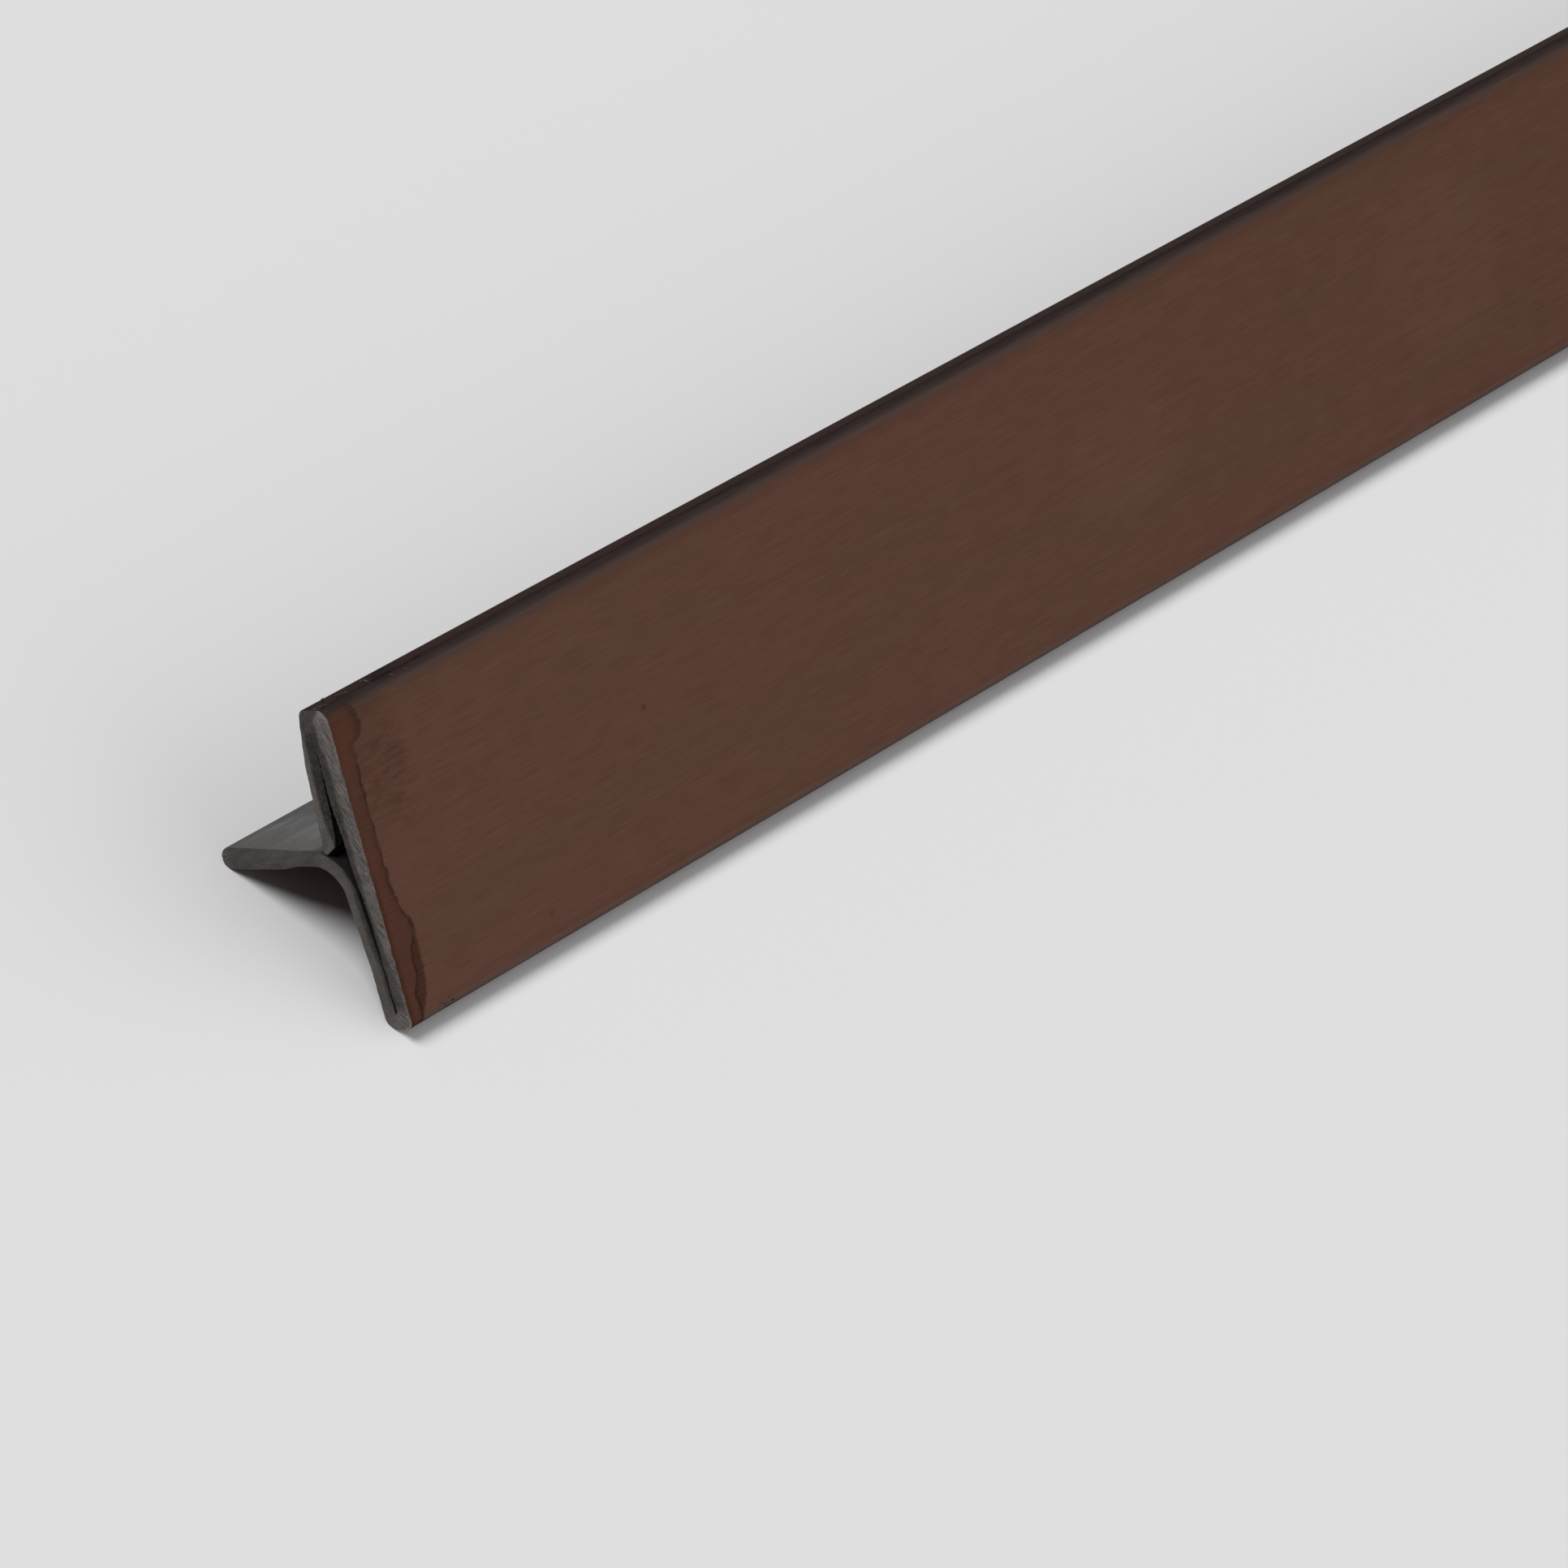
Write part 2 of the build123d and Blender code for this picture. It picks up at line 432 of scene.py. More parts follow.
class Pieces:
    """Vertices, faces, finishes, cut tones and places on the map, gathered for one mesh."""

    def __init__(self):
        self.places, self.faces, self.finishes, self.tones, self.spots = [], [], [], [], []
        self.threads = 0
        self.crumbs = 0

    def add(self, places, faces, finishes, spots, tones=None):
        """Each face has its corners' places on the map in spots."""
        first = len(self.places)
        self.places += [tuple(place) for place in places]
        self.faces += [[first + i for i in face] for face in faces]
        self.finishes += finishes
        self.spots += spots
        self.tones += list(np.zeros(len(places)) if tones is None else tones)


def sides(rows, count, across, up):
    """Faces between neighbouring closed rows of so many points, with their corners' places on the map."""
    faces, spots = [], []
    for k in range(rows - 1):
        here, there = k * count, (k + 1) * count
        left, right = across[k], across[k + 1]
        for i in range(count):
            j = (i + 1) % count
            faces.append((here + i, here + j, there + j, there + i))
            spots.append(((left, up[i]), (left, up[i + 1]), (right, up[i + 1]), (right, up[i])))
    return faces, spots


# The rim of the near end: up to this depth the coated side is smeared out over the cut, and elsewhere
# it is worn. Its raggedness and the ground recess fade out along the strip.
FACE_SIDE = 0.6
FACE_LIP, BACK_LIP = 0.05, 0.022
FACE_STANDS_OUT = 0.03
NEAR_WORN, FAR_WORN = 0.03, 0.02
LIP_LENGTH = 0.3
RECESS_LENGTH = 2.0
NEAR_SEED, FAR_SEED = 11, 12


def strip_rings(travelled):
    """Rings of points along the strip, and the section points of its first and last ring."""
    away = outward(OUTLINE)
    face_side = np.array([tag == "coat" for tag in TAGS]) & (OUTLINE[:, 0] < FACE_SIDE)
    ragged = 0.6 * wander(travelled, 0.55, 1) + 0.4 * wander(travelled, 0.19, 2)
    lip = np.where(face_side, FACE_LIP, BACK_LIP) * ragged
    stands_out = np.where(face_side, FACE_STANDS_OUT, 0.0) + 0.015 * wander(travelled, 0.4, 3)
    near_ring = OUTLINE + away * (lip - np.where(face_side, 0, NEAR_WORN))[:, None]
    far_ring = OUTLINE - away * FAR_WORN
    recess = cut_recess(*near_ring.T)
    rings = [in_row(near_ring, NEAR_END + recess - stands_out)]
    for distance in STATIONS:
        lip_here = lip * max(0, 1 - distance / LIP_LENGTH)
        recess_here = recess * max(0, 1 - distance / RECESS_LENGTH)
        rings.append(in_row(OUTLINE + away * lip_here[:, None], NEAR_END + distance + recess_here))
    for distance in STATIONS[::-1]:
        rings.append(in_row(OUTLINE, FAR_END - distance))
    rings.append(in_row(far_ring, FAR_END))
    return rings, near_ring, far_ring


def add_strip(pieces):
    """The folded strip: its long sides and its two cut ends."""
    count = len(OUTLINE)
    travelled = np.cumsum(np.linalg.norm(np.roll(OUTLINE, -1, 0) - OUTLINE, axis=1))
    rings, near_ring, far_ring = strip_rings(travelled)
    length = FAR_END - NEAR_END
    positions = [0, *STATIONS, *(length - distance for distance in STATIONS[::-1]), length]
    across = np.interp(positions, *zip(*LENGTH_ON_MAP)) + RING_GAP * np.arange(len(rings))
    up = SIDES_TOP * (1 - np.append(0, travelled) / travelled[-1])
    faces, spots = sides(len(rings), count, across, up)
    finishes = TAGS * (len(rings) - 1)

    near_grid, near_faces = cap(near_ring, NEAR_SEED)
    near_faces = [face[::-1] for face in near_faces]
    far_grid, far_faces = cap(far_ring, FAR_SEED)
    near_map = np.vstack([near_ring, near_grid])[:, ::-1] * NEAR_CAP_SCALE + NEAR_CAP_MAP
    far_map = np.vstack([far_ring, far_grid]) * FAR_CAP_SCALE + FAR_CAP_MAP
    last_ring = (len(rings) - 1) * count
    near_points = len(rings) * count
    far_points = near_points + len(near_grid)
    for cap_faces, on_map, ring_start, grid_start in (
        (near_faces, near_map, 0, near_points), (far_faces, far_map, last_ring, far_points),
    ):
        for face in cap_faces:
            faces.append([ring_start + i if i < count else grid_start + i - count for i in face])
            spots.append([on_map[i] for i in face])
            finishes.append("cut")
    places = [*rings, in_row(near_grid, NEAR_END + cut_recess(*near_grid.T)), in_row(far_grid, FAR_END)]
    tones = [
        cut_tone(*near_ring.T), np.zeros((len(rings) - 2) * count), np.full(count, FAR_TONE),
        cut_tone(*near_grid.T), np.full(len(far_grid), FAR_TONE),
    ]
    pieces.add(np.vstack(places), faces, finishes, spots, np.concatenate(tones))


def add_prism(pieces, rows, finish, tones, corner, size):
    """A closed solid through rows of points that have the same count, each row a closed loop.

    Its sides and then its two ends fill a rectangle of the map, given by its corner and size.
    """
    count = len(rows[0])
    across = corner[0] + size[0] * np.linspace(0, PRISM_SIDES, len(rows))
    up = corner[1] + size[1] * np.linspace(0, 1, count + 1)
    faces, spots = sides(len(rows), count, across, up)
    turns = 2 * pi * np.arange(count) / count
    circle = np.column_stack([np.cos(turns), np.sin(turns)])
    spots += [list((circle * PRISM_END_SIZE + middle) * size + corner) for middle in PRISM_ENDS]
    faces.append(tuple(range(count))[::-1])
    faces.append(tuple((len(rows) - 1) * count + i for i in range(count)))
    pieces.add(np.vstack(rows), faces, [finish] * len(faces), spots, tones)


# Burrs, drawn in rows up the cut. Across each row lie four points, from the root to the free edge, with
# their sag behind the cut and the share of the burr's own tone that each takes.
BURR_STEP = 0.09
BURR_THICKNESS = 0.07
BURR_ROOT = 0.08
ACROSS_BURR = np.array([0, 0.25, 0.6, 1.0])
BURR_SAG = np.array([0.012, 0.003, 0.012, 0.035])
BURR_PROUD = 0.004
OWN_TONE = np.array([0, 0.7, 1, 1])
FREE_EDGE_TONE = np.array([0, 0, 0, 0.13])
FACE_BURR_TONE = np.array([0.30, 0.12, 0.07, 0.16])
BACK_BURR_TONE = np.array([0.05, 0.05, 0.04, 0.09])
# Grime packed into the lower slit, a little behind the cut
CRUST_TONE = np.array([0.05, 0.06, 0.05, 0.06])
CRUST_FOOT, CRUST_TOP, CRUST_BACK = 1.0, 4.6, 0.06


def add_burr(pieces, heights, root, free, tone, seed, on_map, set_back=0.0):
    """A thin lip of smeared metal over the slit at the near end, from its root to its free edge."""
    rows, tones = [], []
    order = np.arange(len(ACROSS_BURR))
    free = free + 0.02 * wander(heights, 0.5, seed) + 0.012 * wander(heights, 0.15, seed + 1)
    from_ends = np.minimum(heights - heights[0], heights[-1] - heights)
    sink = 0.10 * (1 - rise(from_ends, 0, 0.2))
    for height, start, end, sunk in zip(heights, root, free, sink):
        depths = start + (end - start) * ACROSS_BURR
        open_slit = 1 - rise(height, 17.2, 17.5)
        sag = cut_recess(depths, height) + BURR_SAG * open_slit - BURR_PROUD
        sag = sag + set_back + sunk + 0.004 * wander(height + order * 7, 0.3, seed + 2)
        section_points = np.column_stack([depths, np.full(len(depths), height)])
        front = in_row(section_points, NEAR_END + sag)
        back = in_row(section_points, NEAR_END + sag + BURR_THICKNESS)
        rows.append(np.vstack([front, back[::-1]]))
        plain = cut_tone(depths, height)
        edge = FREE_EDGE_TONE * (1 - rise(height, 8.5, 10.0))
        shade = plain + (tone + edge - plain) * OWN_TONE * open_slit
        shade = shade + 0.02 * wander(height + order * 3, 0.2, seed + 3)
        tones.append(np.concatenate([shade, shade[::-1]]))
    if root[0] < free[0]:
        rows = rows[::-1]
        tones = tones[::-1]
    size = (on_map[2] - on_map[0], on_map[3] - on_map[1])
    add_prism(pieces, rows, "cut", np.concatenate(tones), on_map[:2], size)


def add_burrs(pieces):
    """The burr of the face layer, the burr of the upper back layer and the grime in the lower slit."""
    heights = np.arange(BURR_EDGE[0][0], BURR_EDGE[-1][0], BURR_STEP)
    root = np.full(len(heights), SHEET - BURR_ROOT)
    add_burr(pieces, heights, root, border(heights, BURR_EDGE), FACE_BURR_TONE, 21, BURR_MAPS[0])
    heights = np.arange(BACK_BURR_EDGE[0][0], BACK_BURR_EDGE[-1][0], BURR_STEP)
    root = upper_wall(heights) + BURR_ROOT
    add_burr(pieces, heights, root, border(heights, BACK_BURR_EDGE), BACK_BURR_TONE, 31, BURR_MAPS[1])
    heights = np.arange(CRUST_FOOT, CRUST_TOP, BURR_STEP)
    root = np.full(len(heights), SHEET - BURR_ROOT)
    free = lower_wall(heights) + BURR_ROOT
    add_burr(pieces, heights, root, free, CRUST_TONE, 51, BURR_MAPS[2], CRUST_BACK)


# A crumb is an octahedron. Its faces round either tip lie side by side in its cell of the map.
CRUMB = np.array([(1, 0, 0), (-1, 0, 0), (0, 1, 0), (0, -1, 0), (0, 0, 1), (0, 0, -1)], float)
CRUMB_FACES = [
    (0, 2, 4), (2, 1, 4), (1, 3, 4), (3, 0, 4), (2, 0, 5), (1, 2, 5), (3, 1, 5), (0, 3, 5),
]
CRUMB_IN_CELL = ((0.2, 0.0), (0.2, 0.9), (0.4, 0.45), (0.0, 0.45), (0.2, 0.45), (0.2, 0.45))
CRUMB_SPOTS = [
    np.array([CRUMB_IN_CELL[i] for i in face]) + (0.5 * (5 in face), 0) for face in CRUMB_FACES
]
SMALLEST_CRUMB, LARGEST_CRUMB = 0.012, 0.035


def add_crumbs(pieces):
    """Bright grains left by the saw along the face's cut corner and the lip of the inner burr."""
    random = np.random.default_rng(31)
    grains = [(random.uniform(0.0, 0.16), height, -0.015) for height in random.uniform(1.2, 19.2, 70)]
    grains += [(random.uniform(0.15, 0.55), random.uniform(19.1, 19.75), -0.01) for _ in range(26)]
    for height in random.uniform(11.5, 16.8, 16):
        grains.append((border(height, BURR_EDGE) + random.uniform(-0.02, 0.08), height, 0.06))
    for height in random.uniform(2.0, 8.5, 12):
        grains.append((border(height, BURR_EDGE) + random.uniform(-0.04, 0.05), height, 0.03))
    for depth, height, back in grains:
        size = random.uniform(SMALLEST_CRUMB, LARGEST_CRUMB) * MM
        shape = CRUMB * random.uniform(0.6, 1.4, (6, 1)) * size
        centre = in_row(np.array([(depth, height)]), NEAR_END + back)
        row, column = divmod(pieces.crumbs, CRUMBS_IN_ROW)
        pieces.crumbs += 1
        corner = np.array(CRUMB_MAP) + np.array(CRUMB_CELL) * (column, row)
        on_map = [list(corner + CRUMB_CELL * face) for face in CRUMB_SPOTS]
        pieces.add(shape + centre, CRUMB_FACES, ["glint"] * len(CRUMB_FACES), on_map)


THREAD_SIDES = 5
THREAD_TIP = 0.35
THREAD_SPACING = 1.1
# Pale curls of swarf on the top hem: start and end as (distance from the near end, depth), and bow
CURLS = (
    ((2.1, 1.25), (2.9, 0.95), 0.16), ((5.1, 1.5), (4.6, 0.5), -0.18), ((0.25, 0.9), (0.85, 0.7), 0.10),
    ((6.0, 0.45), (6.3, 0.25), 0.05), ((7.3, 0.35), (7.55, 0.2), -0.05), ((4.5, 1.45), (4.9, 1.25), 0.12),
)
CURL_RADIUS = 0.018
CURL_LIFT = 0.015
# Dark ridges behind the top hem's rim, as (shift from the rim, radius), and the spikes of a tiny burr on
# the hem, as (lean, height), from one place given by its distance from the near end and its depth
RIDGES = ((0.0, 0.07), (0.07, 0.06), (0.15, 0.05))
SPIKES = ((-0.14, 0.22), (0.02, 0.16), (0.16, 0.26))
SPIKE_PLACE = (1.62, 1.75)
SPIKE_RADIUS = 0.03


def hem_top(along, depth, above):
    """A place over the top hem, by its distance from the near end, its depth and its height above it."""
    points = OUTLINE[OUTLINE[:, 1] > FLANGE_WIDTH - TOP_FACE_ROUND]
    points = points[np.argsort(points[:, 0])]
    height = np.interp(depth, *points.T)
    return in_row(np.column_stack([depth, height + above]), NEAR_END + along)


def add_thread(pieces, path, radius, finish):
    """A thin round thread along a path, tapered to both ends."""
    rows = []
    ahead = np.gradient(path, axis=0)
    turns = [2 * pi * k / THREAD_SIDES for k in range(THREAD_SIDES)]
    for place, heading, share in zip(path, ahead, np.linspace(0, 1, len(path))):
        heading = Vector(heading).normalized()
        across = heading.orthogonal().normalized()
        up = heading.cross(across)
        thick = radius * (THREAD_TIP + (1 - THREAD_TIP) * sin(pi * share))
        ring = [across * cos(turn) + up * sin(turn) for turn in turns]
        rows.append(np.array(place) + np.array(ring) * thick * MM)
    corner = (THREAD_MAP[0] + pieces.threads * THREAD_CELL[0] * THREAD_SPACING, THREAD_MAP[1])
    pieces.threads += 1
    add_prism(pieces, rows, finish, np.zeros(len(path) * THREAD_SIDES), corner, THREAD_CELL)


def add_swarf(pieces):
    """The curls on the top hem, the dark ridges behind its rim and the tiny spiked burr."""
    share = np.linspace(0, 1, 9)
    for start, end, bow in CURLS:
        start, end = np.array(start), np.array(end)
        sideways = np.array([start[1] - end[1], end[0] - start[0]])
        sideways /= np.linalg.norm(sideways)
        bend = bow * np.sin(pi * share) + 0.4 * bow * np.sin(3 * pi * share)
        line = start + (end - start) * share[:, None] + sideways * bend[:, None]
        add_thread(pieces, hem_top(line[:, 0], line[:, 1], CURL_LIFT), CURL_RADIUS, "swarf")
    share = np.linspace(0, 1, 7)
    lift = 0.02 * wander(share, 0.2, 42)
    for shift, radius in RIDGES:
        ridge = np.column_stack([0.50 + 1.5 * shift + 0.6 * share, FLANGE_WIDTH - 0.01 + lift])
        along = NEAR_END + 0.04 + shift + 0.05 * wander(share, 0.2, 41)
        add_thread(pieces, in_row(ridge, along), radius, "dark")
    share = share[:5]
    for lean, tall in SPIKES:
        along = SPIKE_PLACE[0] + lean * share
        depth = np.full(len(share), SPIKE_PLACE[1])
        add_thread(pieces, hem_top(along, depth, tall * share - 0.02), SPIKE_RADIUS, "dark")


def build_mesh(pieces, materials):
    mesh = bpy.data.meshes.new("t_trim_strip")
    mesh.from_pydata(pieces.places, [], pieces.faces)
    names = list(materials)
    for name in names:
        mesh.materials.append(materials[name])
    mesh.polygons.foreach_set("material_index", [names.index(finish) for finish in pieces.finishes])
    tones = mesh.attributes.new("tone", "FLOAT", "POINT")
    tones.data.foreach_set("value", np.array(pieces.tones, np.float32))
    on_map = mesh.uv_layers.new(name=MAP_NAME)
    corners = np.concatenate([np.ravel(spots) for spots in pieces.spots])
    on_map.data.foreach_set("uv", corners.astype(np.float32))
    mesh.validate()
    mesh.shade_smooth()
    mesh.set_sharp_from_angle(angle=radians(40))
    return mesh


ANY_DEPTH = 1e6


class Graph:
    """A material's nodes, built from plain calls that each give back a socket.

    place is the place on the strip, in millimetres: along (the distance from the near end), depth, height.
    """

    def __init__(self, name, on_strip=True):
        self.material = bpy.data.materials.new(name)
        self.material.use_nodes = True
        self.tree = self.material.node_tree
        self.tree.nodes.clear()
        if on_strip:
            place = self.node("TexCoord", {}).outputs["Object"]
            origin = in_row(np.zeros((1, 2)), NEAR_END)[0]
            self.place = self.place_in(place, origin, -REST_ANGLE, (MM, MM, MM))
            self.along, self.depth, self.height = self.node("SeparateXYZ", {"Vector": self.place}).outputs

    def node(self, kind, inputs, **settings):
        made = self.tree.nodes.new("ShaderNode" + kind)
        for key, value in settings.items():
            setattr(made, key, value)
        for key, value in inputs.items():
            if isinstance(value, bpy.types.NodeSocket):
                self.tree.links.new(value, made.inputs[key])
            else:
                made.inputs[key].default_value = value
        return made

    def math(self, operation, *values):
        return self.node("Math", dict(enumerate(values)), operation=operation).outputs[0]

    def plus(self, one, other):
        return self.math("ADD", one, other)

    def minus(self, one, other):
        return self.math("SUBTRACT", one, other)

    def larger(self, one, other):
        return self.math("MAXIMUM", one, other)

    def times(self, *values):
        total = values[0]
        for value in values[1:]:
            total = self.math("MULTIPLY", total, value)
        return total

    def ramp(self, value, start, end, low=0.0, high=1.0):
        """low up to start, high from end on, and smooth between them."""
        inputs = {"Value": value, "From Min": start, "From Max": end, "To Min": low, "To Max": high}
        return self.node("MapRange", inputs, interpolation_type="SMOOTHSTEP").outputs[0]

    def near(self, value, reach):
        """1 where the value is 0, fading to 0 at the reach either way."""
        return self.ramp(self.math("ABSOLUTE", value), 0.3 * reach, reach, 1.0, 0.0)

    def blend(self, share, one, other):
        return self.node("Mix", {0: share, 2: one, 3: other}).outputs[0]

    def mix(self, share, one, other):
        return self.node("Mix", {0: share, 6: one, 7: other}, data_type="RGBA").outputs[2]

    def place_in(self, vector, origin, turn, unit):
        """The place seen from an origin, along turned axes, in a unit of its own for each axis."""
        inputs = {"Vector": vector, "Location": origin, "Rotation": (turn, 0, 0), "Scale": unit}
        return self.node("Mapping", inputs, vector_type="TEXTURE").outputs[0]

    def noise(self, along, depth, height, detail=2.0, offset=0.0, turn=0.0):
        """Noise with features of about these sizes, which run along the axes turned in the section."""
        vector = self.place_in(self.place, (offset, offset, offset), turn, (along, depth, height))
        inputs = {"Vector": vector, "Scale": 1.0, "Detail": detail, "Roughness": 0.6}
        return self.node("TexNoise", inputs).outputs["Fac"]

    def profile(self, points, reach):
        """Value at each height, through a few (height, value) points with values below the reach."""
        made = self.node("FloatCurve", {"Value": self.math("DIVIDE", self.height, FLANGE_WIDTH)})
        line = made.mapping.curves[0].points
        for _ in points[2:]:
            line.new(0.5, 0.5)
        for point, (at, value) in zip(line, points):
            point.location = (at / FLANGE_WIDTH, value / reach)
        made.mapping.update()
        return self.times(made.outputs[0], reach)

    def spot(self, along, height, half_length, half_height):
        """1 in the middle of an oval spot, fading to 0 at its edge."""
        unit = (half_length, ANY_DEPTH, half_height)
        away = self.place_in(self.place, (along, 0, height), 0, unit)
        distance = self.node("VectorMath", {0: away}, operation="LENGTH").outputs["Value"]
        return self.ramp(distance, 0.5, 1, 1, 0)

    def bump(self, height, distance, strength):
        inputs = {"Height": height, "Distance": distance, "Strength": strength}
        return self.node("Bump", inputs).outputs[0]

    def finish(self, **inputs):
        names = {key.replace("_", " "): value for key, value in inputs.items()}
        shader = self.node("BsdfPrincipled", names)
        self.node("OutputMaterial", {"Surface": shader.outputs[0]})
        return self.material


# Colours of the coat: its browns, its stain beside the cut, and painted shade, reflections and highlights at
# its hems
RED_BROWN = (0.1235, 0.0600, 0.0425, 1)
OLIVE_BROWN = (0.1165, 0.0615, 0.0398, 1)
DARK_BROWN = (0.040, 0.019, 0.013, 1)
PALE_BROWN = (0.30, 0.19, 0.15, 1)
STAIN_RED = (0.0700, 0.0270, 0.0165, 1)
STAIN_OLIVE = (0.0500, 0.0250, 0.0150, 1)
STAIN_BROWN = (0.0480, 0.0200, 0.0140, 1)
STAIN_LINE = (0.0180, 0.0080, 0.0060, 1)
FOLD_REFLECTION_GREY = (0.0720, 0.0520, 0.0490, 1)
HEM_TOP_DARK_REFLECTION = (0.0500, 0.0405, 0.0385, 1)
TOP_ROUND_HIGHLIGHT = (0.1220, 0.0920, 0.0860, 1)
BOTTOM_ROUND_REFLECTION = (0.1350, 0.1060, 0.0960, 1)
SCUFF = (0.012, 0.013, 0.016, 1)
SCUFF_PALE = (0.085, 0.100, 0.105, 1)
COAT_METALLIC = 0.9
COAT_SPECULAR = 0.2
EDGE_TINT = (0.40, 0.36, 0.36, 1)
BRUSHING_RELIEF = 0.003 * MM
PATCH_SHIFT = 5.0
# Marks on the face: distance from the near end, height, half length and half height
PALE_PATCHES = ((74.0, 9.5, 7.5, 5.0), (110.0, 10.5, 9.0, 7.5))
DARK_SPECK = (25.3, 10.5, 0.3, 0.28)
FAINT_SPECK = (13.4, 1.9, 0.35, 0.3)
WORN_PATCH = (3.9, 14.6, 2.2, 4.2)
WORN_HALO = (1.5, 17.0, 4.8, 7.0)
SCUFF_PLACE = (3.1, 0.34, 1.1, 0.45)
# Smudge on top of the top hem: its distance from the near end and its reach either way
HEM_SMUDGE_AT, HEM_SMUDGE_REACH = 6.8, 3.0
# Stain of the coat beside the near end: its edge, and the line inside its lower part, as
# (height, distance from the end), all nearer than the reach
STAIN_REACH = 4.0
STAIN_EDGE = (
    (0.3, 1.1), (0.9, 1.27), (2.0, 1.9), (3.45, 2.07), (5.1, 2.13), (6.0, 2.1), (6.8, 1.64), (7.7, 1.41),
    (8.6, 1.27), (11.0, 1.2), (13.8, 1.15), (14.9, 1.16), (15.6, 1.22), (16.5, 1.34), (17.3, 1.4),
    (17.55, 2.04), (18.2, 2.37), (19.0, 2.25), (19.5, 2.05),
)
STAIN_INNER_LINE = ((0.5, 0.97), (2.0, 1.01), (2.9, 1.38), (4.2, 1.46), (5.2, 2.0), (6.0, 2.1))
STAIN_EDGE_WIDTH, STAIN_LINE_WIDTH = 0.19, 0.17


def patched_brown(g, mottling):
    """The coat's two browns in long patches, mottled, with a few paler patches."""
    patches = g.noise(26, 9, 4, 3.0, PATCH_SHIFT)
    colour = g.mix(g.ramp(patches, 0.42, 0.66), RED_BROWN, OLIVE_BROWN)
    colour = g.mix(g.ramp(mottling, 0.3, 0.7, 0.0, 0.10), colour, DARK_BROWN)
    for patch in PALE_PATCHES:
        share = g.times(g.spot(*patch), g.ramp(patches, 0.35, 0.6, 0.02, 0.055))
        colour = g.mix(share, colour, PALE_BROWN)
    return colour


def with_hems(g, colour, mottling):
    """Painted shade, reflections and highlights towards the hems, with a smudge on top of the top one."""
    on_front = g.ramp(g.depth, 0.4, 0.8, 1, 0)
    # Painted dark reflection on top of the top hem
    top = g.ramp(g.height, 19.70, 19.93)
    colour = g.mix(g.times(top, 0.85), colour, HEM_TOP_DARK_REFLECTION)
    # Painted shade below the top hem, a painted grey reflection where its front round starts and a painted
    # highlight on that round
    colour = g.mix(g.ramp(g.height, 18.0, 19.4, 0, 0.22), colour, DARK_BROWN)
    fold = g.times(g.ramp(g.height, 19.0, 19.5), g.ramp(g.height, 19.75, 19.93, 0.85, 0.2), on_front)
    colour = g.mix(fold, colour, FOLD_REFLECTION_GREY)
    top_round_highlight = g.times(g.ramp(g.height, 19.60, 19.88, 0, 0.9), on_front)
    colour = g.mix(top_round_highlight, colour, TOP_ROUND_HIGHLIGHT)
    smudge = g.near(g.minus(g.along, HEM_SMUDGE_AT), HEM_SMUDGE_REACH)
    smudge = g.times(g.ramp(g.height, 19.86, 19.97), smudge)
    colour = g.mix(g.times(smudge, g.ramp(mottling, 0.40, 0.56, 0.1, 0.75)), colour, SCUFF)
    # Painted shade above the bottom edge and a painted grey reflection on the bottom hem's front round
    colour = g.mix(g.ramp(g.height, 0.6, 1.4, 0.10, 0), colour, DARK_BROWN)
    bottom_round_reflection = g.times(g.ramp(g.height, 0.05, 0.75, 0.9, 0), on_front)
    return g.mix(bottom_round_reflection, colour, BOTTOM_ROUND_REFLECTION)


def with_stain(g, colour, on_face):
    """Stained beside the cut, in three tones with dark lines round them. Also gives where it is stained."""
    wave = g.times(g.minus(g.noise(0.7, 0.7, 0.7), 0.5), 0.5)
    past_edge = g.plus(g.minus(g.along, g.profile(STAIN_EDGE, STAIN_REACH)), wave)
    past_line = g.plus(g.minus(g.along, g.profile(STAIN_INNER_LINE, STAIN_REACH)), wave)
    stained = g.times(on_face, g.ramp(past_edge, -0.18, 0.12, 1, 0))
    lobe = g.times(stained, g.ramp(g.height, 16.9, 17.8), g.ramp(past_edge, -1.0, -0.1))
    lower = g.times(stained, g.ramp(g.height, 5.0, 5.6, 1, 0))
    between = g.times(lower, g.ramp(past_line, -0.10, 0.10))
    line = g.times(on_face, g.near(past_edge, STAIN_EDGE_WIDTH))
    line = g.times(line, g.ramp(g.height, 15.5, 17.2, 1, 0.35), g.ramp(g.height, 4.8, 6.0, 0.25, 1))
    inner_line = g.times(lower, g.near(past_line, STAIN_LINE_WIDTH))
    soft_side = g.times(on_face, g.ramp(past_edge, -0.7, -0.05), g.ramp(past_edge, 0.0, 0.06, 1, 0))
    colour = g.mix(g.times(stained, 0.7), colour, STAIN_RED)
    colour = g.mix(g.times(soft_side, 0.25), colour, STAIN_OLIVE)
    colour = g.mix(g.times(lobe, 0.8), colour, STAIN_OLIVE)
    colour = g.mix(g.times(between, 0.7), colour, STAIN_BROWN)
    blots = g.ramp(g.noise(0.9, 0.9, 0.9, offset=6.0), 0.35, 0.65, 0.38, 0.66)
    colour = g.mix(g.times(g.larger(line, inner_line), blots), colour, STAIN_LINE)
    return colour, stained


def with_brushing(g, colour, hairlines):
    """Dark and pale hairlines along the strip, and longer soft strokes."""
    strokes = g.noise(16, 0.3, 0.3, offset=3.0)
    colour = g.mix(g.ramp(hairlines, 0.36, 0.50, 0.15, 0.0), colour, DARK_BROWN)
    colour = g.mix(g.ramp(hairlines, 0.50, 0.66, 0.0, 0.06), colour, PALE_BROWN)
    return g.mix(g.ramp(strokes, 0.35, 0.65, 0.08, 0.0), colour, DARK_BROWN)


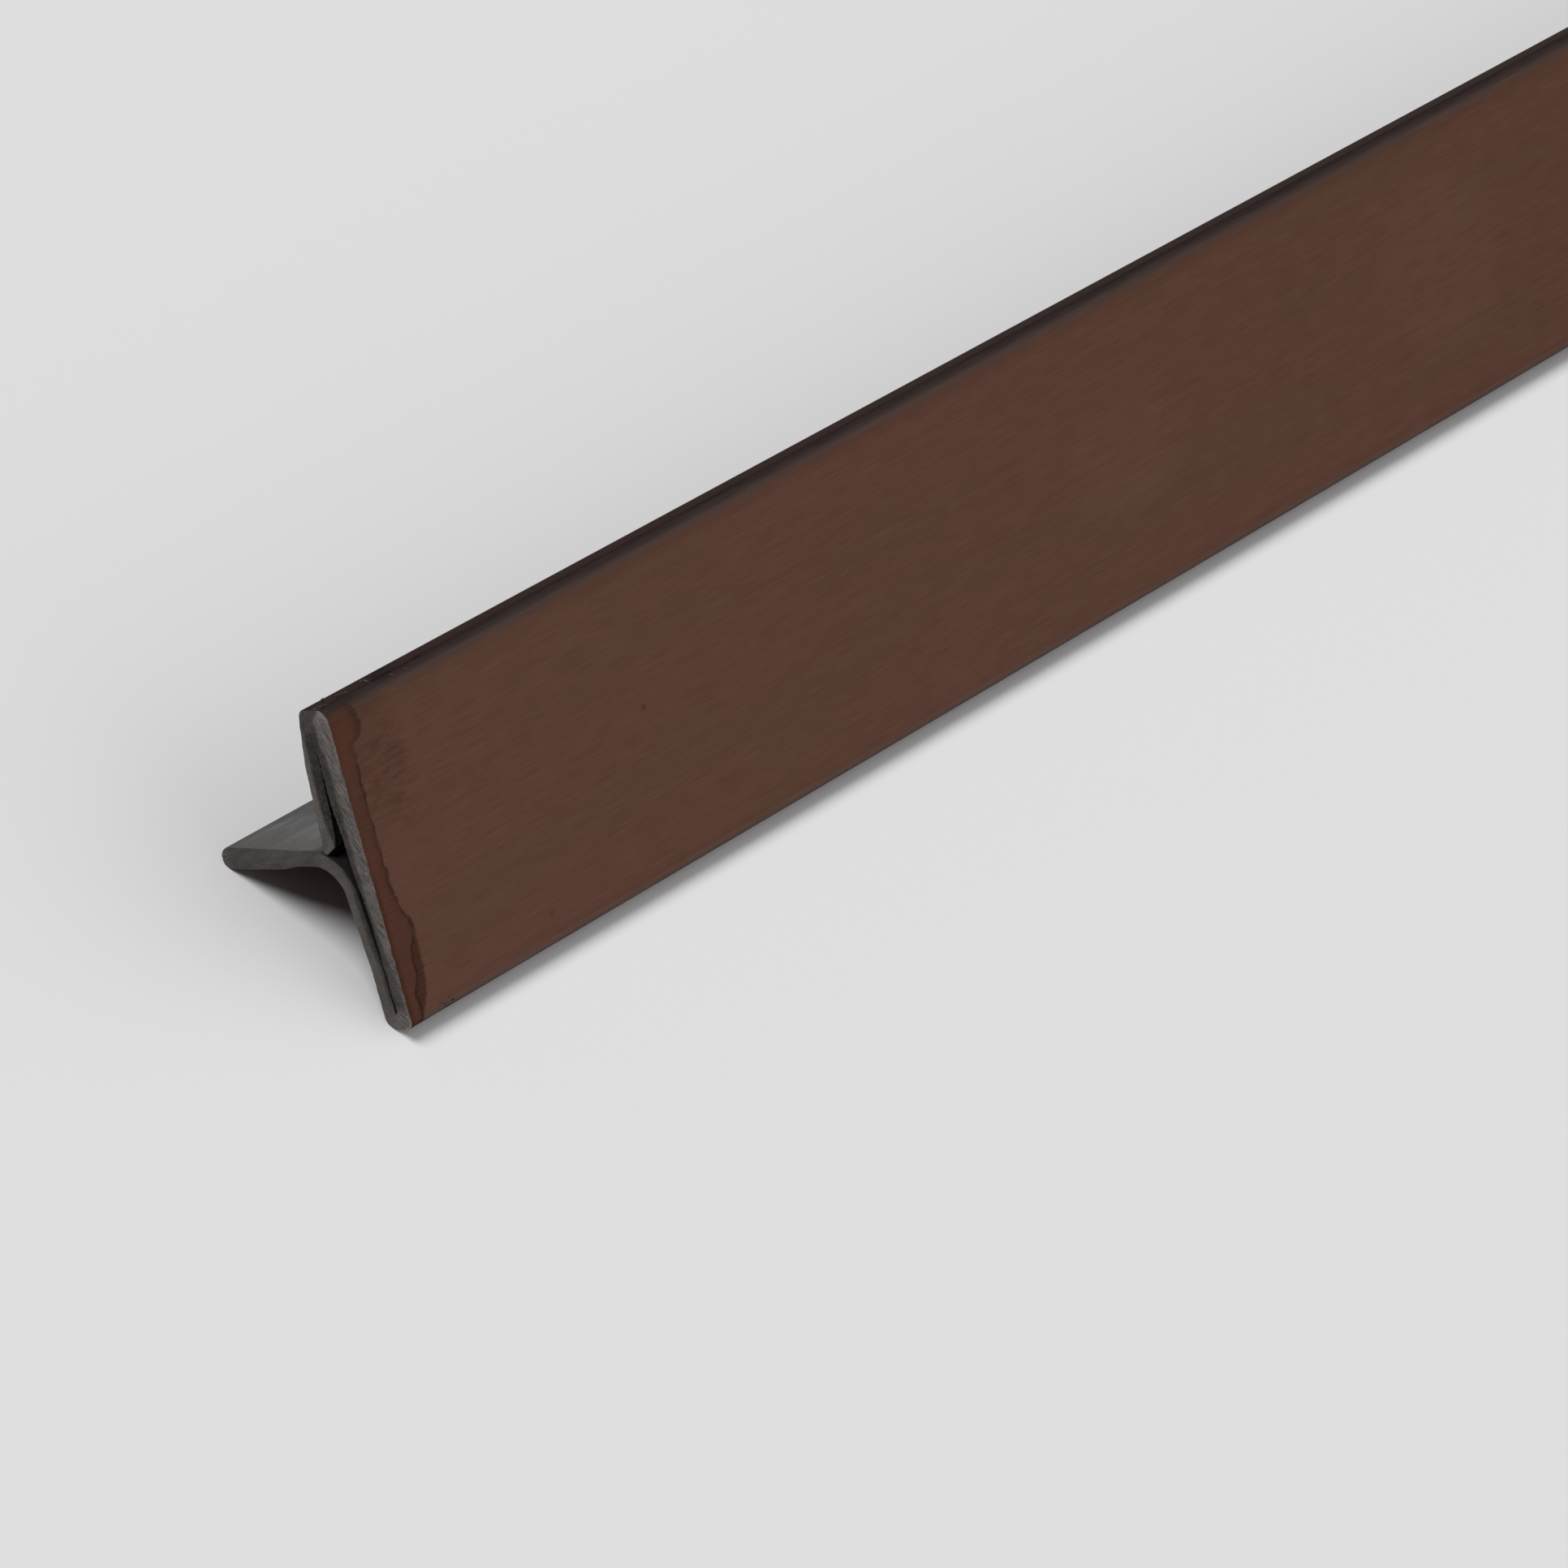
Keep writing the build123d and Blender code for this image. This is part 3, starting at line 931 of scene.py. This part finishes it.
def with_wear(g, colour, on_face, stained):
    """Two specks, a worn patch in its halo, a dark fringe at the cut and a scuff on the bottom edge."""
    unstained = g.times(on_face, g.minus(1, stained))
    specks = g.larger(g.spot(*DARK_SPECK), g.times(g.spot(*FAINT_SPECK), 0.5))
    dashes = g.noise(1.1, 0.32, 0.32, 3.0, 13.0)
    worn_patch = g.times(g.spot(*WORN_PATCH), g.ramp(dashes, 0.44, 0.66), 0.24)
    halo = g.times(g.spot(*WORN_HALO), g.ramp(dashes, 0.35, 0.65, 0.12, 0.28), unstained)
    colour = g.mix(g.larger(g.times(specks, 0.38), g.times(worn_patch, unstained)), colour, DARK_BROWN)
    colour = g.mix(halo, colour, DARK_BROWN)
    fringe = g.times(on_face, g.ramp(g.along, 0.12, 0.42, 1, 0), g.ramp(g.height, 8.5, 10.5, 0.35, 0.08))
    colour = g.mix(fringe, colour, STAIN_LINE)
    flecks = g.ramp(g.noise(0.22, 0.12, 0.12), 0.47, 0.55)
    scuff = g.times(g.spot(*SCUFF_PLACE), flecks)
    smear = g.mix(g.ramp(g.noise(0.5, 0.1, 0.1, offset=4.0), 0.45, 0.6), SCUFF, SCUFF_PALE)
    return g.mix(g.times(scuff, 0.9), colour, smear)


def coat_material():
    """Brown coat over hairline brushing, stained where the strip was cut, with painted shade and reflections
    at the hems.
    """
    g = Graph("brown_coat")
    on_face = g.times(g.ramp(g.depth, 0.5, 0.7, 1, 0), g.ramp(g.height, 19.4, 19.85, 1, 0))
    mottling = g.noise(2.6, 1.0, 1.0, 3.0, 9.0)
    hairlines = g.noise(3.2, 0.09, 0.09, 3.0)
    colour = patched_brown(g, mottling)
    colour = with_hems(g, colour, mottling)
    colour, stained = with_stain(g, colour, on_face)
    colour = with_brushing(g, colour, hairlines)
    colour = with_wear(g, colour, on_face, stained)
    return g.finish(
        Base_Color=colour,
        Metallic=COAT_METALLIC,
        Specular_IOR_Level=COAT_SPECULAR,
        Specular_Tint=EDGE_TINT,
        Roughness=g.ramp(hairlines, 0.3, 0.7, 0.38, 0.46),
        Normal=g.bump(hairlines, BRUSHING_RELIEF, 0.6),
    )


BARE_DARK = (0.078, 0.074, 0.073, 1)
BARE_PALE = (0.166, 0.159, 0.157, 1)
SMUDGE = (0.042, 0.037, 0.035, 1)
FOLD_PAINTED_SHADE = (0.024, 0.021, 0.020, 1)
RIM_BROWN = (0.078, 0.066, 0.057, 1)


def bare_material():
    """Bare rolled steel, dull and streaked along the strip, and darkened by painted shade inside the folds.
    """
    g = Graph("bare_steel")
    streaks = g.noise(14, 1.1, 1.1)
    hairlines = g.noise(5, 0.09, 0.09)
    tone = g.plus(g.times(streaks, 0.85), g.times(hairlines, 0.15))
    tone = g.minus(tone, g.ramp(g.depth, 8.5, 11.5, 0, 0.1))
    colour = g.mix(g.ramp(tone, 0.30, 0.66), BARE_DARK, BARE_PALE)
    smudges = g.ramp(g.noise(3.5, 0.9, 0.9, 3.0, 5.0), 0.42, 0.58)
    mottling = g.noise(0.5, 0.35, 0.35, 3.0, 9.0)
    toe_side = g.times(g.ramp(g.depth, 7.6, 9.6), g.ramp(g.along, 5.0, 14.0, 1, 0), smudges)
    colour = g.mix(g.times(toe_side, 0.55), colour, SMUDGE)
    root_side = g.times(g.ramp(g.depth, 4.4, 6.4, 1, 0), g.ramp(g.along, 3.0, 9.0, 1, 0))
    colour = g.mix(g.times(root_side, g.ramp(mottling, 0.40, 0.62), 0.75), colour, SMUDGE)
    rim = g.times(g.ramp(g.along, 0.4, 3.4, 1, 0), g.ramp(mottling, 0.62, 0.42, 0.5, 0.95))
    colour = g.mix(rim, colour, RIM_BROWN)
    # Painted shade inside the folds, where the steel is also rougher
    folded_in = g.ramp(g.depth, 3.2, 4.0, 1, 0)
    colour = g.mix(g.times(folded_in, 0.93), colour, FOLD_PAINTED_SHADE)
    return g.finish(
        Base_Color=colour,
        Metallic=0.8,
        Specular_IOR_Level=0.3,
        Roughness=g.ramp(folded_in, 0, 1, 0.42, 0.8),
        Normal=g.bump(hairlines, BRUSHING_RELIEF, 0.6),
    )


CUT_DARK = (0.018, 0.0150, 0.0138, 1)
CUT_BRIGHT = (0.200, 0.175, 0.158, 1)
CUT_PAINTED_GLINT = (0.62, 0.59, 0.56, 1)
CUT_RELIEF = 0.03 * MM
# Directions of the scratches above and below the stem and on it, and of the flecks of painted glint
STEEP, GENTLE, LEVEL, FLECKED = radians(62), radians(50), radians(-6), radians(60)


def cut_material():
    """Ground and smeared metal of the cut ends, scratched across, brighter where its tone is, with flecks of
    painted glint.
    """
    g = Graph("cut_steel")
    tone = g.node("Attribute", {}, attribute_name="tone").outputs["Fac"]
    steep = g.noise(1, 1.0, 0.085, 3.0, 0.0, STEEP)
    gentle = g.noise(1, 1.0, 0.085, 3.0, 4.0, GENTLE)
    level = g.noise(1, 1.3, 0.12, 3.0, 8.0, LEVEL)
    scratches = g.blend(g.ramp(g.height, 8.0, 10.0), gentle, steep)
    scratches = g.blend(g.ramp(g.depth, 3.2, 4.6), scratches, level)
    grain = g.noise(0.16, 0.16, 0.16, 3.0)
    blotches = g.noise(1.2, 0.8, 0.5, offset=2.0)
    ground = g.ramp(tone, 0.34, 0.48)
    rubbed = g.times(ground, g.ramp(g.depth, 1.3, 1.6, 1, 0.25))
    bright = g.plus(tone, g.times(g.minus(scratches, 0.5), g.blend(rubbed, 0.25, 2.4)))
    bright = g.plus(bright, g.times(g.minus(grain, 0.5), g.blend(ground, 0.45, 0.8)))
    bright = g.plus(bright, g.times(g.minus(blotches, 0.5), 0.3))
    colour = g.mix(bright, CUT_DARK, CUT_BRIGHT)
    # Flecks of painted glint on the ground metal, which is also smoother there
    flecks = g.noise(0.3, 0.2, 0.06, 2.0, 7.0, FLECKED)
    painted_glints = g.times(g.ramp(flecks, 0.64, 0.70), ground, g.ramp(g.depth, 0.12, 0.45, 1.0, 0.25))
    relief = g.plus(g.times(scratches, 0.7), g.times(grain, 0.3))
    return g.finish(
        Base_Color=g.mix(g.times(painted_glints, 0.6), colour, CUT_PAINTED_GLINT),
        Metallic=0.6,
        Specular_IOR_Level=0.3,
        Roughness=g.blend(painted_glints, 0.45, 0.3),
        Normal=g.bump(relief, CUT_RELIEF, 0.7),
    )


# Dull and bright tone of the saw's clean grains, of the pale curls and of the dark burrs
CLEAN_STEEL = ((0.35, 0.34, 0.33, 1), (0.75, 0.74, 0.72, 1))
PALE_SWARF = ((0.09, 0.08, 0.074, 1), (0.26, 0.235, 0.22, 1))
DARK_SWARF = ((0.02, 0.018, 0.017, 1), (0.05, 0.045, 0.042, 1))


def grained_material(name, dull, bright, grain, metallic, roughness):
    """Loose or turned-up metal in two tones, with a grain of this size."""
    g = Graph(name)
    colour = g.mix(g.ramp(g.noise(grain, grain, grain), 0.3, 0.7), dull, bright)
    return g.finish(Base_Color=colour, Metallic=metallic, Roughness=roughness)


# Floor, sky and lamp. The sky's bright panel starts and is full at these cosines from its middle.
FLOOR_SIZE = 12.0
FLOOR_COLOUR = (0.74, 0.74, 0.745, 1)
FLOOR_ROUGHNESS = 0.9
PANEL_FROM = (0.52, -0.60, 0.60)
PANEL_STARTS, PANEL_FULL = 0.5, 0.93
PANEL_LEVEL = 1.2
SKY_LEVEL = 0.12
BACKDROP = (0.74, 0.74, 0.74, 1)
LAMP_FROM = (-0.45, 0.40, 0.80)
LAMP_STRENGTH = 2.53
LAMP_ANGLE = radians(32)
# The camera sees the near end and about a ninth of the length, as the photo does
CAMERA_PLACE = (-0.8101, -0.1460, 0.3328)
CAMERA_FORWARD = (0.69394, 0.27894, -0.66381)
CAMERA_RIGHT = (0.62135, -0.69782, 0.35632)
FRAME_WIDTH = 1932
FOCAL_PIXELS = 10000
SENSOR_WIDTH = 36
CLIP_START, CLIP_END = 0.01, 50


def put_in_scene(name, data):
    made = bpy.data.objects.new(name, data)
    bpy.context.scene.collection.objects.link(made)
    return made


def make_floor():
    graph = Graph("pale_floor", on_strip=False)
    half = FLOOR_SIZE / 2
    corners = [(-half, -half, 0), (half, -half, 0), (half, half, 0), (-half, half, 0)]
    mesh = bpy.data.meshes.new("floor")
    mesh.from_pydata(corners, [], [(0, 1, 2, 3)])
    mesh.materials.append(graph.finish(Base_Color=FLOOR_COLOUR, Roughness=FLOOR_ROUGHNESS))
    return put_in_scene("floor", mesh)


def make_sky():
    """A wide soft panel in front of the face and a dim surround, on a plain pale backdrop."""
    world = bpy.data.worlds.new("studio")
    world.use_nodes = True
    bpy.context.scene.world = world
    tree = world.node_tree
    tree.nodes.clear()
    new, link = tree.nodes.new, tree.links.new
    place = new("ShaderNodeTexCoord")
    towards = new("ShaderNodeVectorMath")
    towards.operation = "DOT_PRODUCT"
    towards.inputs[1].default_value = Vector(PANEL_FROM).normalized()
    link(place.outputs["Generated"], towards.inputs[0])
    level = new("ShaderNodeMapRange")
    level.interpolation_type = "SMOOTHSTEP"
    level.inputs["From Min"].default_value = PANEL_STARTS
    level.inputs["From Max"].default_value = PANEL_FULL
    level.inputs["To Min"].default_value = SKY_LEVEL
    level.inputs["To Max"].default_value = PANEL_LEVEL
    link(towards.outputs["Value"], level.inputs["Value"])
    light = new("ShaderNodeBackground")
    link(level.outputs[0], light.inputs["Strength"])
    seen = new("ShaderNodeBackground")
    seen.inputs["Color"].default_value = BACKDROP
    path = new("ShaderNodeLightPath")
    pick = new("ShaderNodeMixShader")
    link(path.outputs["Is Camera Ray"], pick.inputs[0])
    link(light.outputs[0], pick.inputs[1])
    link(seen.outputs[0], pick.inputs[2])
    output = new("ShaderNodeOutputWorld")
    link(pick.outputs[0], output.inputs[0])


def make_lamp():
    """A wide soft lamp from above, beyond the near end and behind the face."""
    lamp = bpy.data.lights.new("soft_lamp", "SUN")
    lamp.energy = LAMP_STRENGTH
    lamp.angle = LAMP_ANGLE
    made = put_in_scene("soft_lamp", lamp)
    made.rotation_mode = "QUATERNION"
    made.rotation_quaternion = Vector(LAMP_FROM).to_track_quat("Z", "Y")


def make_camera():
    data = bpy.data.cameras.new("camera")
    data.sensor_width = SENSOR_WIDTH
    data.lens = FOCAL_PIXELS / FRAME_WIDTH * SENSOR_WIDTH
    data.clip_start = CLIP_START
    data.clip_end = CLIP_END
    back = -Vector(CAMERA_FORWARD).normalized()
    right = Vector(CAMERA_RIGHT)
    right = (right - back * right.dot(back)).normalized()
    turn = Matrix((right, back.cross(right), back)).transposed()
    made = put_in_scene("camera", data)
    made.matrix_world = Matrix.Translation(CAMERA_PLACE) @ turn.to_4x4()
    bpy.context.scene.camera = made


materials = {
    "coat": coat_material(),
    "bare": bare_material(),
    "cut": cut_material(),
    "glint": grained_material("clean_steel", *CLEAN_STEEL, grain=0.05, metallic=1.0, roughness=0.25),
    "swarf": grained_material("pale_swarf", *PALE_SWARF, grain=0.08, metallic=0.5, roughness=0.5),
    "dark": grained_material("dark_burr", *DARK_SWARF, grain=0.08, metallic=0.5, roughness=0.5),
}
gathered = Pieces()
add_strip(gathered)
add_burrs(gathered)
add_crumbs(gathered)
add_swarf(gathered)
strip = put_in_scene("t_trim_strip", build_mesh(gathered, materials))
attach(strip, "root")
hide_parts(NODE)

floor = make_floor()
make_sky()
make_lamp()
make_camera()
bpy.context.scene.view_settings.view_transform = "Standard"
